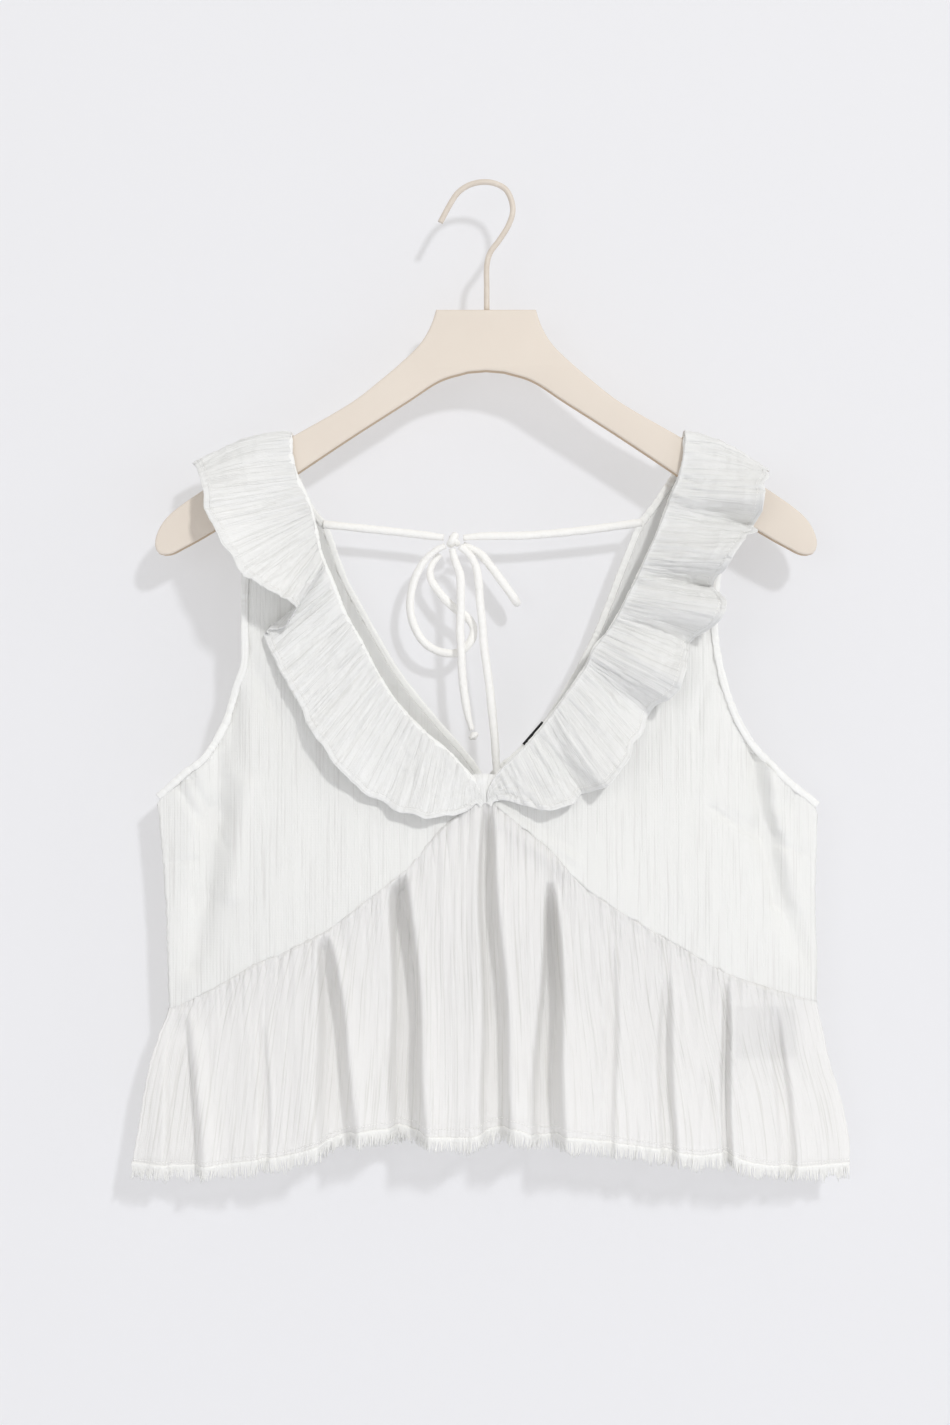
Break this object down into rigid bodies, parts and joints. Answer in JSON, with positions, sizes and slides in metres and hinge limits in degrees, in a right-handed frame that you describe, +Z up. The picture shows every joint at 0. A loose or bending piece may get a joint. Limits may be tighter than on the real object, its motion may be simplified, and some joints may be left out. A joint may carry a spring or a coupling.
{
  "type": "sleeveless ruffled top on a hanger",
  "caption": "White gauze V-neck top with gathered ruffles from the V over the shoulders, a tie across the open back and a frayed peplum, hanging on a flat hanger by its hook",
  "frame": {"origin": "the inner top of the hanger's hook, where a rail or nail carries it", "axes": "+X to the right as seen from the front, -Y out of the front, +Z up"},
  "size_m": [0.4758, 0.0867, 0.6662],
  "materials": {
    "white_gauze": "crinkled cotton gauze",
    "white_gauze_back": "crinkled cotton gauze",
    "ruffle_gauze": "gathered cotton gauze with a narrow stitched hem",
    "bound_edge": "narrow puckered binding",
    "frayed_thread": "frayed cotton threads",
    "rouleau_tie": "turned cotton tube",
    "hanger_board": "warm beige matte board",
    "coated_wire": "beige coated wire",
    "black_label": "plain woven label",
    "care_label_cloth": "plain satin label"
  },
  "bodies": {
    "root": {"front_bodice_left": "white_gauze", "front_bodice_right": "white_gauze", "back_bodice_left": "white_gauze_back", "back_bodice_right": "white_gauze_back", "front_peplum": "white_gauze", "back_peplum": "white_gauze_back", "ruffle_left": "ruffle_gauze", "ruffle_right": "ruffle_gauze", "neck_binding_left": "bound_edge", "neck_binding_right": "bound_edge", "armhole_binding_left": "bound_edge", "armhole_binding_right": "bound_edge", "fringe_front": "frayed_thread", "fringe_back": "frayed_thread", "hanger": "hanger_board", "hanger_hook": "coated_wire", "neck_label": "black_label", "care_label": "care_label_cloth", "tie_left": "rouleau_tie", "tie_right": "rouleau_tie", "bow_knot": "rouleau_tie", "bow_loop_left": "rouleau_tie", "bow_loop_right": "rouleau_tie", "tie_tail_long": "rouleau_tie", "tie_tail_short": "rouleau_tie", "tail_end_knot": "rouleau_tie", "tail_end_knot_hidden": "rouleau_tie"}
  },
  "joints": []
}
